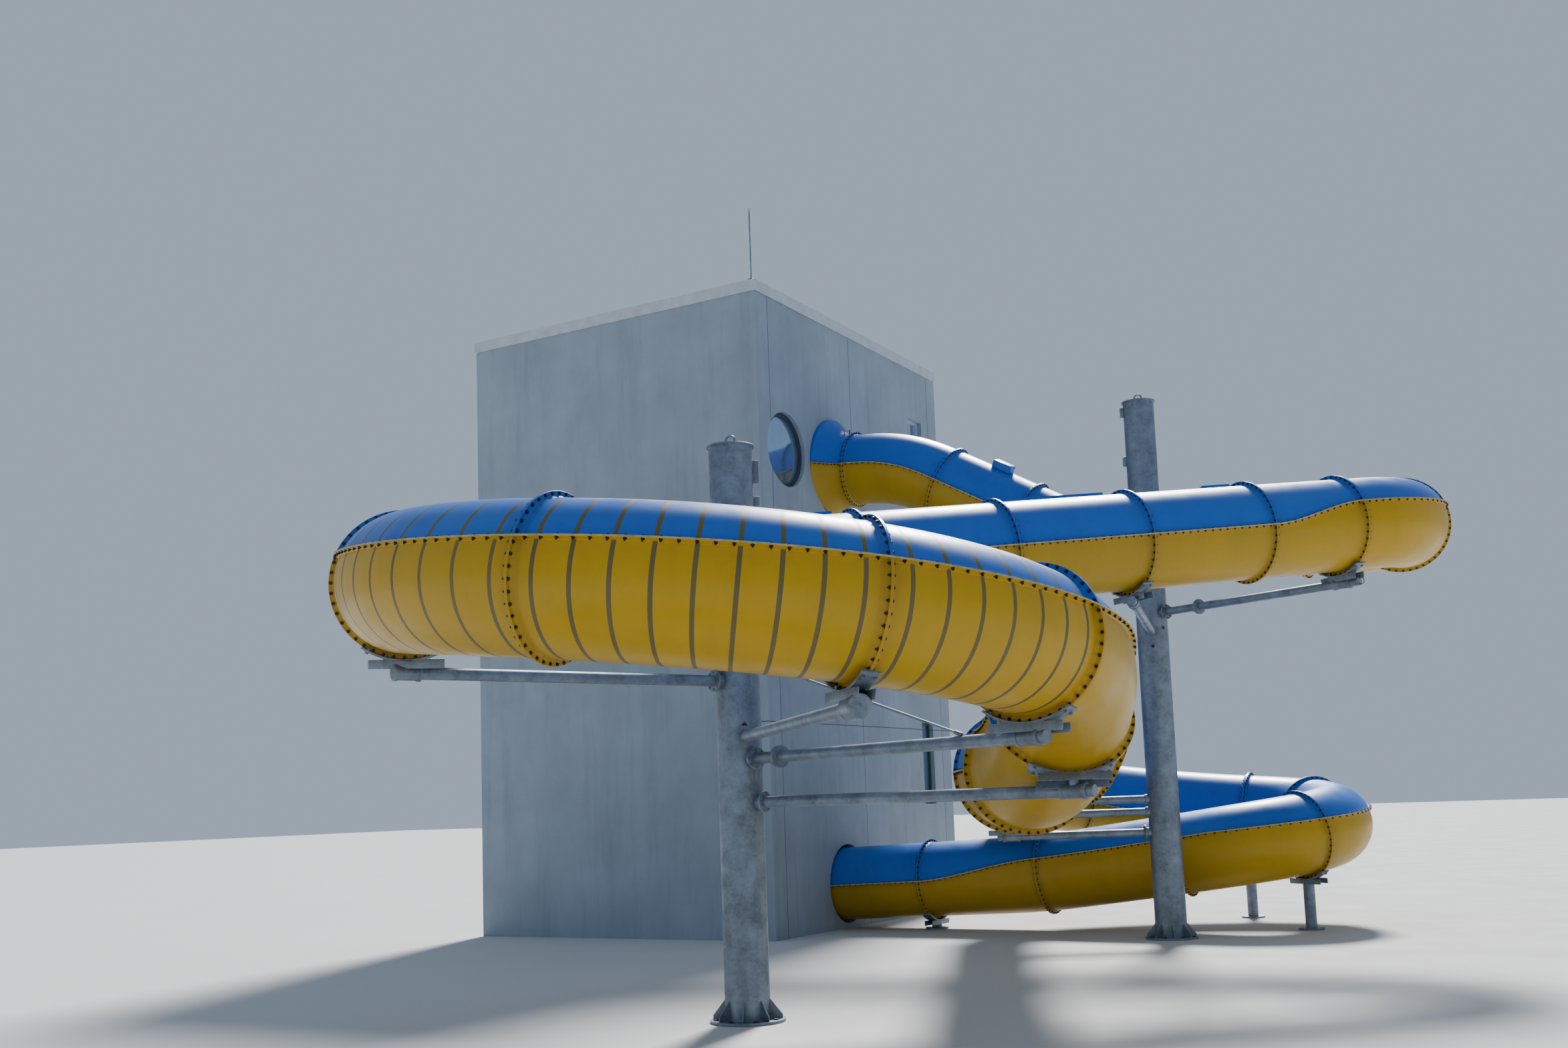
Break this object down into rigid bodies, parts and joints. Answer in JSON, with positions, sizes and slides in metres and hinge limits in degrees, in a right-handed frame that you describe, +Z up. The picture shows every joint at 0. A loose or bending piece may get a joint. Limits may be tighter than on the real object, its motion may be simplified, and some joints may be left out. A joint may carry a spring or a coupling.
{
  "type": "water slide tower",
  "caption": "Closed tube water slide of blue and yellow half shells that leaves a concrete tower, winds around pipe columns and returns to its foot.",
  "frame": {"origin": "centre of the bounding box at the pit floor, 0.75 m below the gravel around it", "axes": "+Z up, +X out of the tower face that the slide leaves, +Y back along that face"},
  "size_m": [16.1466, 20.0146, 12.0956],
  "materials": {
    "shell_blue": "gloss",
    "shell_yellow": "gloss",
    "concrete": "matt",
    "galvanised_steel": "galvanised",
    "aluminium": "satin",
    "dark_frame": "satin",
    "green_frame": "satin",
    "glass": "polished"
  },
  "bodies": {
    "root": {"start_collar_upper": "shell_blue", "start_collar_lower": "shell_yellow", "start_drop_upper": "shell_blue", "start_drop_lower": "shell_yellow", "upper_turn_upper": "shell_blue", "upper_turn_lower": "shell_yellow", "upper_near_run_upper": "shell_blue", "upper_near_run_lower": "shell_yellow", "front_bend_upper": "shell_blue", "front_bend_lower": "shell_yellow", "dive_upper": "shell_blue", "dive_lower": "shell_yellow", "dive_foot_upper": "shell_blue", "dive_foot_lower": "shell_yellow", "under_run_upper": "shell_blue", "under_run_lower": "shell_yellow", "back_turn_upper": "shell_blue", "back_turn_lower": "shell_yellow", "lower_far_run_upper": "shell_blue", "lower_far_run_lower": "shell_yellow", "lower_turn_upper": "shell_blue", "lower_turn_lower": "shell_yellow", "outlet_run_upper": "shell_blue", "outlet_run_lower": "shell_yellow", "tower_right_wall_front": "concrete", "tower_right_wall_back": "concrete", "tower_front_wall": "concrete", "tower_back_wall": "concrete", "tower_left_wall": "concrete", "ground_floor": "concrete", "start_platform_floor": "concrete", "roof_slab": "concrete", "parapet_flashing": "aluminium", "lightning_rod": "galvanised_steel", "porthole_frame": "dark_frame", "small_window_frame": "aluminium", "narrow_window_frame": "green_frame", "porthole_glass": "glass", "small_window_glass": "glass", "narrow_window_glass": "glass", "column_1": "galvanised_steel", "column_2": "galvanised_steel", "column_1_arm_left": "galvanised_steel", "column_1_arm_middle": "galvanised_steel", "column_1_arm_right": "galvanised_steel", "column_1_arm_dive": "galvanised_steel", "column_2_arm_turn": "galvanised_steel", "column_2_arm_near": "galvanised_steel", "column_2_arm_far": "galvanised_steel", "column_2_arm_under_low": "galvanised_steel", "column_2_strut_under_middle": "galvanised_steel", "column_2_strut_under_high": "galvanised_steel", "column_2_strut_outlet": "galvanised_steel", "lower_far_post": "galvanised_steel", "lower_turn_post": "galvanised_steel", "outlet_saddle": "galvanised_steel", "column_1_tie_rod": "galvanised_steel", "column_2_tie_rod": "galvanised_steel"}
  },
  "joints": []
}
